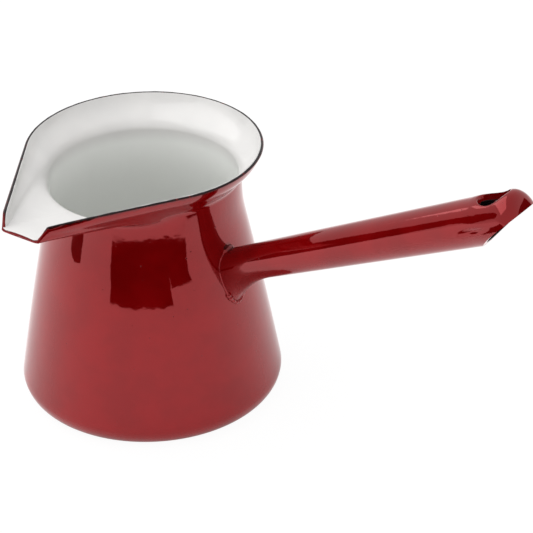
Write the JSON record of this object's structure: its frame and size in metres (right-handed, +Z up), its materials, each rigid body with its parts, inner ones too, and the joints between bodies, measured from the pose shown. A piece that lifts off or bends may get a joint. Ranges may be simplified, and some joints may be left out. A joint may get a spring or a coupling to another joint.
{
  "type": "melting pot",
  "caption": "Enamelled steel melting pot with a cone-shaped body, narrow neck, flared collar with a wide pouring spout, and a hollow upswept handle with a hanging hole.",
  "frame": {"origin": "centre of the round base, on the surface that the pot stands on", "axes": "+Z up along the pot's axis; +X towards the handle, which is the longest extent; -Y towards the pouring spout"},
  "size_m": [0.212, 0.1198, 0.1302],
  "materials": {
    "red_enamel": "glossy fired vitreous enamel, deep red, slight waviness",
    "white_enamel": "glossy fired vitreous enamel, white",
    "dark_ground_coat": "semi-gloss fired ground coat, near black with red flecks",
    "drawn_steel": "plain low-carbon sheet steel, hidden under the enamel"
  },
  "bodies": {
    "root": {"pot_shell": "drawn_steel", "outer_enamel": "red_enamel", "inner_enamel": "white_enamel", "rim_edge": "dark_ground_coat", "handle_tube": "drawn_steel", "handle_enamel": "red_enamel", "handle_lining": "dark_ground_coat", "weld_bead": "red_enamel"}
  },
  "joints": []
}
